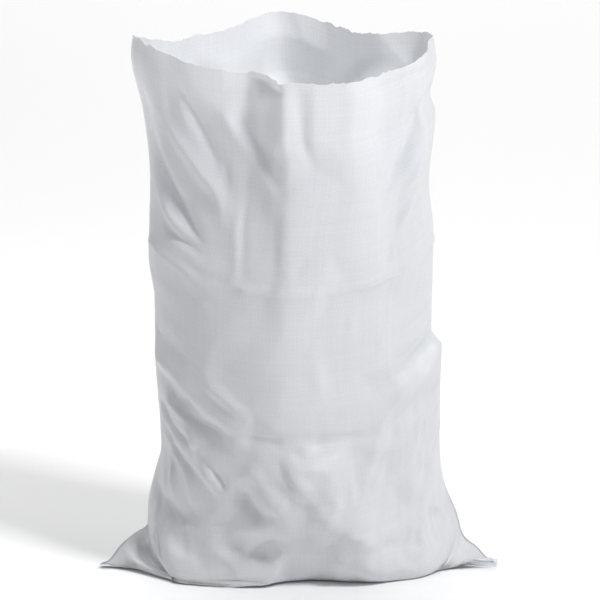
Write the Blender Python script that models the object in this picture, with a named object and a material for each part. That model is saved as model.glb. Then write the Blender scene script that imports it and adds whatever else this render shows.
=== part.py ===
"""Rubble sack standing open on its base: a tube of woven polypropylene, pressed flat and sewn across its bottom.

Metres, +Z up, +X along the bottom seam, +Y to the back. The origin is on the floor under the middle of the sack.
"""

import math
from dataclasses import dataclass

import bmesh
import bpy
import numpy as np

# The sack as it was cut and sewn
FLAT_WIDTH = 0.600
EAR_X = FLAT_WIDTH / 2
CORNER_HEIGHT = 0.818
# How far the mouth's edge dips between its corners; a lower power makes a narrower dip
FRONT_DIP = 0.030
FRONT_DIP_POWER = 1.6
BACK_DIP = 0.006
BACK_DIP_POWER = 2

# The cloth is drawn this thick, so that it holds as a solid
WALL = 0.0025
BASE_THICKNESS = 0.0030
LEAST_INNER_GAP = 0.0010

# The chain stitch along the seam, in its groove under the base
THREAD_RADIUS = 0.0005
THREAD_CLEARANCE = 0.0003
THREAD_HALF_LENGTH = EAR_X - 0.004

# Each side fold, as height and distance from the middle: the ear, the waist above it, and the mouth's corner
LEFT_FOLD = (
    (0.000, 0.288), (0.012, EAR_X), (0.031, 0.272), (0.051, 0.246), (0.064, 0.228), (0.105, 0.226), (0.146, 0.217),
    (0.190, 0.207), (0.323, 0.215), (0.428, 0.216), (0.480, 0.224), (0.600, 0.221), (0.706, 0.231), (0.790, 0.248),
    (CORNER_HEIGHT, 0.245),
)
RIGHT_FOLD = (
    (0.000, 0.288), (0.012, EAR_X), (0.031, 0.271), (0.045, 0.249), (0.082, 0.234), (0.132, 0.213), (0.218, 0.206),
    (0.322, 0.209), (0.363, 0.199), (0.520, 0.200), (0.594, 0.194), (0.700, 0.202), (CORNER_HEIGHT, 0.199),
)

# Higher up a section is (1 - |u| ** plan power) ** pointed power, from an ellipse to a blunt diamond
PLAN_POWER = ((0.000, 2.0), (0.170, 2.0), (0.310, 1.65), (CORNER_HEIGHT, 1.65))
POINTED_POWER = ((0.000, 0.80), (0.080, 0.65), (0.140, 0.54), (0.200, 0.52), (0.330, 0.62), (CORNER_HEIGHT, 0.62))
# The panels bulge most a little left of their middle
RIDGE_SHIFT = 0.08
# The sack keeps its base's outline up to the first of these heights, and loses it by the second
BASE_FORM_FULL = 0.020
BASE_FORM_UNTIL = 0.170
# How suddenly that outline closes on the side folds
BASE_END_POWER = 14
# The tube takes the mouth's own shape between these heights
MOUTH_FORM_FROM = 0.41
MOUTH_FORM_FULL = 0.79
# A fold never brings a panel closer to the seam's line than this, and it fades out beside the side folds
LEAST_DEPTH = 0.0020
FOLD_MARGIN = 0.06
# How softly a fold turns along its line: 1 is a sharp crease
FOLD_POWER = 1.3


@dataclass(frozen=True)
class Fold:
    """A fold that lifts its panel along a line, given as distances from the middle and heights."""

    line: tuple
    rise: float
    reach: float


@dataclass(frozen=True)
class Panel:
    """The front or the back of the sack.

    The depth is how far its middle stands from the seam's line, by height. The base is the outline near the floor, as
    place between the ears' tips (-1 left, 1 right) and share of that depth. The mouth is its edge from above, as
    place across it and distance from the corners' line.
    """

    depth: tuple
    base: tuple
    mouth: tuple
    folds: tuple


FRONT = Panel(
    depth=(
        (0.000, 0.088), (0.010, 0.100), (0.050, 0.121), (0.100, 0.136), (0.200, 0.151), (0.300, 0.160),
        (0.400, 0.159), (0.600, 0.159), (CORNER_HEIGHT, 0.161),
    ),
    base=(
        (-1.00, 0.00), (-0.83, 0.12), (-0.77, 0.14), (-0.71, 0.72), (-0.60, 1.10), (-0.40, 1.33), (-0.27, 1.35),
        (-0.20, 1.31), (-0.13, 1.18), (-0.05, 1.03), (0.20, 1.01), (0.34, 1.05), (0.47, 0.90), (0.60, 0.72),
        (0.70, 0.42), (0.77, 0.17), (0.88, 0.06), (1.00, 0.00),
    ),
    mouth=(
        (-1.00, 0.000), (-0.90, 0.045), (-0.72, 0.080), (-0.32, 0.112), (-0.16, 0.125), (0.00, 0.158),
        (0.20, 0.161), (0.42, 0.161), (0.56, 0.147), (0.65, 0.126), (0.89, 0.099), (0.94, 0.088), (1.00, 0.000),
    ),
    folds=(
        # Diagonal folds under the mouth's left corner
        Fold(((-0.212, 0.705), (-0.185, 0.674), (-0.155, 0.637), (-0.110, 0.563)), 0.008, 0.032),
        Fold(((-0.198, 0.760), (-0.165, 0.710), (-0.118, 0.620)), -0.009, 0.034),
        Fold(((-0.205, 0.640), (-0.170, 0.575), (-0.141, 0.520)), -0.015, 0.034),
        # The hollow panel left of the middle, and the ridge beside it
        Fold(((-0.080, 0.790), (-0.080, 0.720), (-0.050, 0.660)), -0.015, 0.048),
        Fold(((-0.125, 0.760), (-0.098, 0.705), (-0.062, 0.635)), 0.010, 0.030),
        # The right side's diagonal fold
        Fold(((0.186, 0.710), (0.140, 0.630), (0.125, 0.580)), -0.011, 0.038),
        # The two creases from the pack
        Fold(((-0.215, 0.495), (0.000, 0.465), (0.195, 0.495)), 0.003, 0.050),
        Fold(((-0.205, 0.315), (-0.145, 0.278), (-0.095, 0.248)), 0.010, 0.034),
        Fold(((0.140, 0.275), (0.195, 0.315)), 0.007, 0.034),
        Fold(((0.150, 0.335), (0.200, 0.340)), -0.009, 0.030),
        # Lumps above the floor, and the hollow between them
        Fold(((-0.090, 0.205), (-0.055, 0.175), (-0.035, 0.140)), 0.007, 0.034),
        Fold(((-0.100, 0.165), (-0.060, 0.130)), -0.009, 0.030),
        Fold(((-0.070, 0.095), (-0.030, 0.095)), 0.005, 0.036),
    ),
)
BACK = Panel(
    depth=(
        (0.000, 0.070), (0.010, 0.085), (0.050, 0.108), (0.100, 0.120), (0.200, 0.140), (0.350, 0.151),
        (0.600, 0.158), (CORNER_HEIGHT, 0.161),
    ),
    base=(
        (-1.00, 0.00), (-0.80, 0.06), (-0.69, 0.18), (-0.53, 0.80), (-0.42, 1.00), (-0.15, 1.11), (0.00, 1.00),
        (0.26, 1.12), (0.45, 0.93), (0.54, 0.78), (0.62, 0.46), (0.71, 0.14), (0.82, 0.04), (1.00, 0.00),
    ),
    mouth=(
        (-1.00, 0.000), (-0.68, 0.038), (-0.60, 0.066), (-0.29, 0.104), (-0.12, 0.152), (0.00, 0.161),
        (0.11, 0.149), (0.31, 0.108), (0.48, 0.062), (0.62, 0.050), (0.93, 0.026), (1.00, 0.000),
    ),
    folds=(
        Fold(((0.150, 0.730), (0.105, 0.680), (0.076, 0.610), (0.070, 0.570)), -0.014, 0.040),
        Fold(((-0.175, 0.740), (-0.130, 0.640)), -0.009, 0.038),
        Fold(((-0.200, 0.640), (-0.155, 0.575)), -0.013, 0.034),
        Fold(((-0.165, 0.325), (-0.095, 0.285)), -0.009, 0.034),
        Fold(((0.105, 0.300), (0.175, 0.330)), -0.009, 0.034),
        Fold(((0.080, 0.190), (0.115, 0.135)), 0.009, 0.038),
        Fold(((-0.080, 0.180), (-0.080, 0.110)), 0.009, 0.038),
    ),
)

# Points of the loft
COLUMNS = 28
OUTLINE_POINTS = 481
OUTER_HEIGHTS = (
    0.000, 0.006, 0.012, 0.022, 0.036, 0.052, 0.072, 0.098, 0.126, 0.156, 0.188, 0.222, 0.256, 0.290, 0.324, 0.360,
    0.400, 0.440, 0.480, 0.520, 0.560, 0.600, 0.640, 0.680, 0.720, 0.756, 0.790, CORNER_HEIGHT,
)
INNER_HEIGHTS = (BASE_THICKNESS, *(height for height in OUTER_HEIGHTS if height > 2 * BASE_THICKNESS))

CLOTH_WHITE = (0.80, 0.815, 0.84, 1.0)
CLOTH_ROUGHNESS = 0.55
THREAD_WHITE = (0.84, 0.84, 0.82, 1.0)
THREAD_ROUGHNESS = 0.6
THREAD_BEVEL_STEPS = 2
# Edges that turn by more than this are shown sharp
SHARP_ANGLE = math.radians(50)


def along(points, at):
    """Values of the smooth curve through the points, which never swings past them."""
    knots, values = np.array(points, float).T
    steps = np.diff(knots)
    slopes = np.diff(values) / steps
    tangents = np.concatenate([slopes[:1], (slopes[:-1] + slopes[1:]) / 2, slopes[-1:]])
    tangents[1:-1][slopes[:-1] * slopes[1:] <= 0] = 0.0
    tangents[:-1] = np.clip(tangents[:-1], -3 * abs(slopes), 3 * abs(slopes))
    tangents[1:] = np.clip(tangents[1:], -3 * abs(slopes), 3 * abs(slopes))
    at = np.clip(at, knots[0], knots[-1])
    i = np.clip(np.searchsorted(knots, at, side="right") - 1, 0, len(steps) - 1)
    t = (at - knots[i]) / steps[i]
    start = (1 + 2 * t) * (1 - t) ** 2 * values[i] + t * (1 - t) ** 2 * steps[i] * tangents[i]
    end = t * t * (3 - 2 * t) * values[i + 1] + t * t * (t - 1) * steps[i] * tangents[i + 1]
    return start + end


def eased(share):
    share = min(max(share, 0.0), 1.0)
    return share * share * (3 - 2 * share)


def lift(fold, x, height):
    """How far a fold lifts its panel at these distances from the middle: fully on its line, and less beside it."""
    nearest = np.full(x.shape, np.inf)
    for (from_x, from_z), (to_x, to_z) in zip(fold.line, fold.line[1:]):
        step_x, step_z = to_x - from_x, to_z - from_z
        share = ((x - from_x) * step_x + (height - from_z) * step_z) / (step_x**2 + step_z**2)
        share = np.clip(share, 0.0, 1.0)
        nearest = np.minimum(nearest, np.hypot(x - from_x - share * step_x, height - from_z - share * step_z))
    return fold.rise * (1 - np.clip(nearest / fold.reach, 0.0, 1.0)) ** FOLD_POWER


def panel_depth(panel, across, x, height):
    """How far a panel stands from the corners' line, at each place across it and distance from the middle."""
    middle = along(panel.depth, height)
    from_ridge = across + RIDGE_SHIFT * (1 - across**2)
    bulge = 1 - abs(from_ridge) ** along(PLAN_POWER, height)
    depth = middle * np.clip(bulge, 0.0, 1.0) ** along(POINTED_POWER, height)
    base_share = 1 - eased((height - BASE_FORM_FULL) / (BASE_FORM_UNTIL - BASE_FORM_FULL))
    base = middle * along(panel.base, x / EAR_X) * (1 - across**BASE_END_POWER)
    depth = depth + (base - depth) * base_share
    mouth_share = eased((height - MOUTH_FORM_FROM) / (MOUTH_FORM_FULL - MOUTH_FORM_FROM))
    depth = depth + (along(panel.mouth, across) - depth) * mouth_share
    fading = np.clip((1 - abs(across)) / FOLD_MARGIN, 0.0, 1.0)
    folded = depth + fading * sum(lift(fold, x, height) for fold in panel.folds)
    return np.maximum(folded, np.minimum(depth, LEAST_DEPTH))


def grown(xs, ys, by):
    """The upper edge of a line grown by a round nose of this radius, read at the same places."""
    apart = np.abs(xs[:, None] - xs[None, :])
    reach = np.where(apart < by, np.sqrt(np.clip(by * by - apart * apart, 0, None)), -np.inf)
    return (ys[None, :] + reach).max(axis=1)


def section(height, wall):
    """The plan at this height, as its two ends, and the front and back lines between them."""
    left = -along(LEFT_FOLD, height)
    right = along(RIGHT_FOLD, height)
    across = -np.cos(np.linspace(0, math.pi, OUTLINE_POINTS))
    xs = (left + right) / 2 + (right - left) / 2 * across
    front = -panel_depth(FRONT, across, xs, height)
    back = panel_depth(BACK, across, xs, height)
    if wall:
        even = np.linspace(left, right, OUTLINE_POINTS)
        front = grown(even, np.interp(even, xs, front), wall)
        back = -grown(even, -np.interp(even, xs, back), wall)
        xs = even[back - front > LEAST_INNER_GAP]
        front = np.interp(xs, even, front)
        back = np.interp(xs, even, back)
    return xs, front, back


def ring(height, wall=0.0):
    """One loop of points round the sack: the front from left to right, then the back from right to left."""
    xs, front, back = section(height, wall)
    places = -np.cos(np.linspace(0, math.pi, COLUMNS + 1))
    x = (xs[0] + xs[-1]) / 2 + (xs[-1] - xs[0]) / 2 * places
    rise = height / CORNER_HEIGHT
    front_z = rise * (CORNER_HEIGHT - FRONT_DIP * (1 - abs(places) ** FRONT_DIP_POWER))
    back_z = rise * (CORNER_HEIGHT - BACK_DIP * (1 - abs(places) ** BACK_DIP_POWER))
    front_y = np.interp(x, xs, front)
    back_y = np.interp(x, xs, back)
    ends_y = (front_y + back_y) / 2
    front_y[[0, -1]] = ends_y[[0, -1]]
    front_points = list(zip(x, front_y, front_z))
    back_points = list(zip(x, back_y, back_z))[1:-1]
    return front_points + back_points[::-1]


def add_ring(mesh, points):
    return [mesh.verts.new(point) for point in points]


def join_rings(mesh, lower, upper):
    for i in range(len(lower)):
        j = (i + 1) % len(lower)
        mesh.faces.new((lower[i], lower[j], upper[j], upper[i]))


def lofted_sack():
    """The outside from the base up, over the mouth's edge, and down the inside to the inner floor."""
    mesh = bmesh.new()
    outer = [add_ring(mesh, ring(height)) for height in OUTER_HEIGHTS]
    inner = [add_ring(mesh, ring(height, WALL)) for height in INNER_HEIGHTS]
    loops = outer + inner[::-1]
    for lower, upper in zip(loops, loops[1:]):
        join_rings(mesh, lower, upper)
    mesh.faces.new(outer[0][::-1])
    mesh.faces.new(inner[0])
    bmesh.ops.recalc_face_normals(mesh, faces=mesh.faces)
    return mesh


def finish_material(name, colour, roughness):
    material = bpy.data.materials.new(name)
    material.use_nodes = True
    shader = material.node_tree.nodes["Principled BSDF"]
    shader.inputs["Base Color"].default_value = colour
    shader.inputs["Roughness"].default_value = roughness
    shader.inputs["Metallic"].default_value = 0.0
    return material


def add_object(name, data, collection, material=None):
    made = bpy.data.objects.new(name, data)
    collection.objects.link(made)
    if material is not None:
        data.materials.append(material)
    return made


def make_body(collection, cutters):
    data = bpy.data.meshes.new("sack_body")
    mesh = lofted_sack()
    mesh.to_mesh(data)
    mesh.free()
    cloth = finish_material("woven polypropylene", CLOTH_WHITE, CLOTH_ROUGHNESS)
    body = add_object("sack_body", data, collection, cloth)
    data.shade_smooth()
    data.set_sharp_from_angle(angle=SHARP_ANGLE)

    groove_data = bpy.data.meshes.new("thread_groove")
    groove_mesh = bmesh.new()
    bmesh.ops.create_cube(groove_mesh, size=1.0)
    groove_size = 2 * (THREAD_RADIUS + THREAD_CLEARANCE)
    bmesh.ops.scale(groove_mesh, vec=(2 * FLAT_WIDTH, groove_size, 2 * groove_size), verts=groove_mesh.verts)
    groove_mesh.to_mesh(groove_data)
    groove_mesh.free()
    groove = add_object("thread_groove", groove_data, cutters)
    groove.hide_render = True
    groove.display_type = "WIRE"

    cut = body.modifiers.new("groove for the thread", "BOOLEAN")
    cut.operation = "DIFFERENCE"
    cut.solver = "EXACT"
    cut.object = groove


def make_thread(collection):
    curve = bpy.data.curves.new("bottom_seam_thread", "CURVE")
    curve.dimensions = "3D"
    curve.bevel_depth = THREAD_RADIUS
    curve.bevel_resolution = THREAD_BEVEL_STEPS
    curve.use_fill_caps = True
    line = curve.splines.new("POLY")
    line.points.add(1)
    for point, x in zip(line.points, (-THREAD_HALF_LENGTH, THREAD_HALF_LENGTH)):
        point.co = (x, 0.0, 0.0, 1.0)
    twisted = finish_material("sewing thread", THREAD_WHITE, THREAD_ROUGHNESS)
    thread = add_object("bottom_seam_thread", curve, collection, twisted)
    thread.location = (0.0, 0.0, THREAD_RADIUS + THREAD_CLEARANCE)


def main():
    for old in list(bpy.data.objects):
        bpy.data.objects.remove(old)
    sack = bpy.data.collections.new("rubble_sack")
    cutters = bpy.data.collections.new("cutters")
    bpy.context.scene.collection.children.link(sack)
    bpy.context.scene.collection.children.link(cutters)
    make_body(sack, cutters)
    make_thread(sack)


main()
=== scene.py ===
"""The looks of a white rubble sack: woven polypropylene cloth, crumpled and standing open on the floor."""

import logging
import math
from dataclasses import dataclass, field, replace
from enum import Enum
from functools import partial
from typing import Any, Iterator, Sequence

import bmesh
import bpy
import numpy as np
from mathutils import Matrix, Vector
from mathutils.geometry import delaunay_2d_cdt

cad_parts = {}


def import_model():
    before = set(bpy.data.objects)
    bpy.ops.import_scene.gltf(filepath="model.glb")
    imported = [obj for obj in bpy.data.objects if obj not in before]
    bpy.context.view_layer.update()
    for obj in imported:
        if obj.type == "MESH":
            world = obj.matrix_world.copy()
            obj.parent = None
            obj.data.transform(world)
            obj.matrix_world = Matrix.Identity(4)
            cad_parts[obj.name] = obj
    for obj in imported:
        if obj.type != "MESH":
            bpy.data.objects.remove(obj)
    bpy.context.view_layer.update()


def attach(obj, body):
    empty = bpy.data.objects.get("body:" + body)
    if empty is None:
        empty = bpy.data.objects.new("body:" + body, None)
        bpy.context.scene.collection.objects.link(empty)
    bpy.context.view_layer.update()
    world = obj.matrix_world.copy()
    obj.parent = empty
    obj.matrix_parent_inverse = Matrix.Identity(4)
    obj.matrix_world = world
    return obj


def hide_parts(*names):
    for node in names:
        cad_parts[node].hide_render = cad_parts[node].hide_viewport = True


LOG = logging.getLogger("rubble_sack")
MILLIMETRES_A_METRE = 1000

# Each of the cloth's two panels, from side fold to side fold and from the bottom seam up to the mouth
PANEL_WIDTH = 0.600
PANEL_HEIGHT = 0.890
# Below the seam the cloth is folded once and turned up over the front
HEM_BELOW_SEAM = 0.010
HEM_ABOVE_SEAM = 0.008
HEM_THICKNESS = 0.0014
CLOTH_THICKNESS = 0.0004
# The seam is this far above the floor, because the hem lies under it
SEAM_REST_HEIGHT = 0.0022
# Folds fade out within this of a side fold, which is held to its own line
SIDE_BAND = 0.03
# The UV map of the cloth, in which 1 is the whole way round the tube
FLAT_CLOTH = "flat_cloth"

Point = tuple[float, float]
Place = tuple[float, float, float]
Curve = tuple[Point, ...]


class Panel(Enum):
    """The two faces of the pressed tube, by the side that each one shows."""

    FRONT = -1
    BACK = 1


class Crest(Enum):
    """How sharply a fold turns along its line, as the power of its tent."""

    CRISP = 1.1
    SOFT = 2.0


def linear_colour(hex_code: str) -> tuple[float, float, float, float]:
    """Turns an sRGB hex colour into the linear one that a shader takes.

    Args:
        hex_code: Six hex digits.

    Returns:
        Linear red, green, blue and an alpha of 1.
    """
    values = [int(hex_code[i : i + 2], 16) / 255 for i in (0, 2, 4)]
    linear = [v / 12.92 if v <= 0.04045 else ((v + 0.055) / 1.055) ** 2.4 for v in values]
    return (*linear, 1.0)


def smooth_curve(points: Sequence[Point], at: np.ndarray | float) -> np.ndarray:
    """Reads the smooth curve through the points, which never swings past them.

    Args:
        points: Pairs of place and value, places rising.
        at: Where to read it.

    Returns:
        The values there.
    """
    knots, values = np.array(points, float).T
    steps = np.diff(knots)
    slopes = np.diff(values) / steps
    tangents = np.concatenate([slopes[:1], (slopes[:-1] + slopes[1:]) / 2, slopes[-1:]])
    tangents[1:-1][slopes[:-1] * slopes[1:] <= 0] = 0.0
    tangents[:-1] = np.clip(tangents[:-1], -3 * abs(slopes), 3 * abs(slopes))
    tangents[1:] = np.clip(tangents[1:], -3 * abs(slopes), 3 * abs(slopes))
    at = np.clip(at, knots[0], knots[-1])
    i = np.clip(np.searchsorted(knots, at, side="right") - 1, 0, len(steps) - 1)
    t = (at - knots[i]) / steps[i]
    start = (1 + 2 * t) * (1 - t) ** 2 * values[i] + t * (1 - t) ** 2 * steps[i] * tangents[i]
    end = t * t * (3 - 2 * t) * values[i + 1] + t * t * (t - 1) * steps[i] * tangents[i + 1]
    return start + end


def eased(share: np.ndarray | float) -> np.ndarray:
    """Eases a share from 0 to 1, held at both ends."""
    share = np.clip(share, 0.0, 1.0)
    return share * share * (3 - 2 * share)


def lengths_along(points: np.ndarray) -> np.ndarray:
    """The length of a line of points from its start to each of them."""
    return np.concatenate([[0.0], np.cumsum(np.linalg.norm(np.diff(points, axis=0), axis=1))])


def read_line(points: np.ndarray, runs: np.ndarray, at: np.ndarray) -> np.ndarray:
    """Reads a line of points, or what goes with them, at some runs along it: one row for each."""
    return np.stack([np.interp(at, runs, column) for column in points.T], axis=1)


def along_line(points: Sequence[Point], shares: np.ndarray) -> np.ndarray:
    """Places on the smooth line through some points, by their share of its length.

    Args:
        points: Corners of the line.
        shares: Shares of its whole length, from 0 to 1.

    Returns:
        One point for each share.
    """
    corners = np.array(points, float)
    runs = lengths_along(corners)
    runs /= runs[-1]
    return np.stack([smooth_curve(list(zip(runs, column)), shares) for column in corners.T], axis=-1)


def add_object(name: str, data: bpy.types.ID) -> bpy.types.Object:
    """Makes an object and links it to the scene.

    Args:
        name: The object's name.
        data: Its mesh, curve, camera or light.

    Returns:
        The object.
    """
    made = bpy.data.objects.new(name, data)
    bpy.context.scene.collection.objects.link(made)
    return made


@dataclass(frozen=True)
class PanelForm:
    """The curves of one panel that the other one doesn't share."""

    # Its middle, as distance from the seam and height
    middle: Curve
    # How far it reaches over the floor across its width, as a share of its middle's reach
    base: Curve
    # Its edge at the mouth from above, as place across it and distance from the corners' line
    mouth: Curve
    # How much higher that edge stands at its places than the plain curve from corner to corner
    rim_rise: Curve


@dataclass(frozen=True)
class SackForm:
    """The sack's main form: rings of cloth that run from the bottom seam up to the mouth.

    A place across a panel runs from -1 at the left side fold to 1 at the right one. A share up it runs from
    0 at the seam to 1 at the mouth.
    """

    # Side folds as distance from the middle and height, from the ear's tip up to the mouth's corner
    left_fold: Curve = (
        (-0.300, 0.0075), (-0.272, 0.031), (-0.246, 0.051), (-0.228, 0.064), (-0.226, 0.105),
        (-0.217, 0.146), (-0.207, 0.190), (-0.215, 0.323), (-0.216, 0.428), (-0.224, 0.480),
        (-0.221, 0.600), (-0.231, 0.706), (-0.248, 0.790), (-0.245, 0.818),
    )
    right_fold: Curve = (
        (0.300, 0.0118), (0.289, 0.018), (0.271, 0.031), (0.249, 0.045), (0.237, 0.082), (0.218, 0.132),
        (0.211, 0.218), (0.213, 0.322), (0.214, 0.342), (0.198, 0.368), (0.200, 0.520), (0.193, 0.594),
        (0.202, 0.700), (0.194, 0.731), (0.203, 0.777), (0.198, 0.818),
    )
    front: PanelForm = PanelForm(
        middle=(
            (0.000, SEAM_REST_HEIGHT), (0.030, 0.001), (0.082, 0.001), (0.099, 0.010), (0.118, 0.045),
            (0.135, 0.100), (0.151, 0.200), (0.160, 0.300), (0.159, 0.400), (0.157, 0.600), (0.161, 0.780),
        ),
        base=(
            (-1.00, 0.00), (-0.97, 0.38), (-0.94, 0.66), (-0.84, 1.06), (-0.70, 1.24), (-0.50, 1.37),
            (-0.30, 1.38), (-0.18, 1.20), (-0.08, 1.04), (0.14, 1.00), (0.41, 1.06), (0.62, 0.92),
            (0.80, 0.72), (0.90, 0.44), (1.00, 0.00),
        ),
        mouth=(
            (-1.00, 0.000), (-0.90, 0.036), (-0.72, 0.064), (-0.56, 0.084), (-0.32, 0.107), (-0.16, 0.124),
            (0.00, 0.158), (0.20, 0.161), (0.42, 0.161), (0.56, 0.147), (0.65, 0.126), (0.89, 0.099),
            (0.94, 0.088), (1.00, 0.000),
        ),
        rim_rise=(
            (-1.00, 0.000), (-0.90, 0.004), (-0.72, 0.010), (-0.56, 0.007), (-0.32, 0.005), (-0.16, 0.004),
            (0.00, 0.000), (1.00, 0.000),
        ),
    )
    back: PanelForm = PanelForm(
        middle=(
            (0.000, SEAM_REST_HEIGHT), (0.030, 0.001), (0.064, 0.001), (0.085, 0.010), (0.106, 0.045),
            (0.122, 0.100), (0.140, 0.200), (0.151, 0.350), (0.156, 0.600), (0.161, 0.819),
        ),
        base=(
            (-1.00, 0.00), (-0.86, 0.22), (-0.70, 0.80), (-0.45, 1.02), (-0.15, 1.10), (0.00, 1.00),
            (0.30, 1.12), (0.55, 0.95), (0.74, 0.70), (0.88, 0.20), (1.00, 0.00),
        ),
        mouth=(
            (-1.00, 0.000), (-0.83, 0.006), (-0.68, 0.018), (-0.60, 0.036), (-0.44, 0.062), (-0.29, 0.094),
            (-0.12, 0.150), (0.00, 0.161), (0.11, 0.156), (0.31, 0.126), (0.48, 0.080), (0.62, 0.058),
            (0.93, 0.022), (1.00, 0.000),
        ),
        rim_rise=(
            (-1.00, 0.000), (-0.83, -0.010), (-0.68, -0.014), (-0.60, -0.011), (-0.44, -0.010),
            (-0.29, -0.006), (-0.12, -0.002), (0.00, 0.000), (0.11, -0.003), (0.31, -0.012), (0.48, -0.015),
            (0.62, -0.011), (0.85, -0.004), (1.00, 0.000),
        ),
    )
    # Height of the seam across the width: the hem stands up under the ears and lies flat between them
    seam_height: Curve = (
        (-1.00, 0.0075), (-0.93, 0.0050), (-0.85, SEAM_REST_HEIGHT), (0.66, SEAM_REST_HEIGHT),
        (0.80, 0.0090), (1.00, 0.0118),
    )
    seam_height_until: float = 0.05
    # The base's own curve holds up to the first share of the cloth, and is gone from the second
    base_form_full: float = 0.12
    base_form_until: float = 0.23
    # Across the width, the panels' feet reach no further out than this
    base_limit: Curve = (
        (-1.00, 0.040), (-0.84, 0.093), (-0.63, 0.109), (-0.40, 0.121), (-0.10, 0.130), (0.10, 0.170),
        (1.00, 0.170),
    )
    # Higher up a ring's plan is (1 - |u| ** plan power) ** pointed power, from an ellipse to a blunt diamond
    pointed_power: Curve = (
        (0.00, 1.00), (0.08, 0.95), (0.12, 0.80), (0.17, 0.65), (0.24, 0.54), (0.32, 0.52), (0.45, 0.62),
        (1.00, 0.62),
    )
    plan_power: Curve = ((0.00, 2.0), (0.30, 2.0), (0.45, 1.65), (1.00, 1.65))
    # The panel bulges most a little left of its middle
    ridge_shift: float = 0.08
    # The mouth's own curve comes in from the first share of the cloth, and holds from the second
    mouth_form_from: float = 0.50
    mouth_form_full: float = 0.97
    rim_rise_from: float = 0.80
    # How steeply a ring drops from the side folds to its middle, near the floor and above
    corner_pull: Curve = ((0.00, 14.0), (0.10, 14.0), (0.26, 4.0), (1.00, 4.0))
    # The ears' tips lie a little in front of the side folds' plane
    left_ear_forward: float = 0.020
    right_ear_forward: float = 0.026
    # An ear starts this far from the middle and is this high
    ear_from: float = 0.20
    ear_height: float = 0.07
    # A ring is worked out at this many points before it is read at even steps
    fine_points: int = 401

    def ring(self, panel: Panel, share: float, places: np.ndarray) -> np.ndarray:
        """One ring of a panel, read at even steps of cloth.

        Args:
            panel: Which panel.
            share: How far up the panel, from 0 at the seam to 1 at the mouth.
            places: Shares of the cloth's width, from 0 at the left fold to 1 at the right.

        Returns:
            A point for each place.
        """
        own = self.front if panel is Panel.FRONT else self.back
        across = -np.cos(np.linspace(0, math.pi, self.fine_points))
        left = along_line(self.left_fold, np.array(share))
        right = along_line(self.right_fold, np.array(share))
        x = (left[0] + right[0]) / 2 + (right[0] - left[0]) / 2 * across
        depth, height = along_line(own.middle, np.array(share))
        from_ridge = across + self.ridge_shift * (1 - across**2)
        bulge = 1 - np.abs(from_ridge) ** smooth_curve(self.plan_power, share)
        tube = depth * bulge ** smooth_curve(self.pointed_power, share)
        base_share = 1 - eased((share - self.base_form_full) / (self.base_form_until - self.base_form_full))
        mouth_share = eased((share - self.mouth_form_from) / (self.mouth_form_full - self.mouth_form_from))
        reach = np.minimum(depth * smooth_curve(own.base, across), smooth_curve(self.base_limit, across))
        y = tube + (reach - tube) * base_share
        y = y + (smooth_curve(own.mouth, across) - y) * mouth_share
        fold_height = np.where(across < 0, left[1], right[1])
        z = height + (fold_height - height) * np.abs(across) ** smooth_curve(self.corner_pull, share)
        rim_share = eased((share - self.rim_rise_from) / (1 - self.rim_rise_from))
        z = z + smooth_curve(own.rim_rise, across) * rim_share
        seam_share = 1 - eased(share / self.seam_height_until)
        z = z + (smooth_curve(self.seam_height, across) - z) * seam_share
        to_tip = eased((np.abs(x) - self.ear_from) / (PANEL_WIDTH / 2 - self.ear_from))
        to_tip = to_tip * (1 - eased(z / self.ear_height))
        forward = np.where(x < 0, self.left_ear_forward, self.right_ear_forward) * to_tip
        points = np.stack([x, panel.value * y - forward, z], axis=1)
        runs = lengths_along(points)
        return read_line(points, runs / runs[-1], places)


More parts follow.
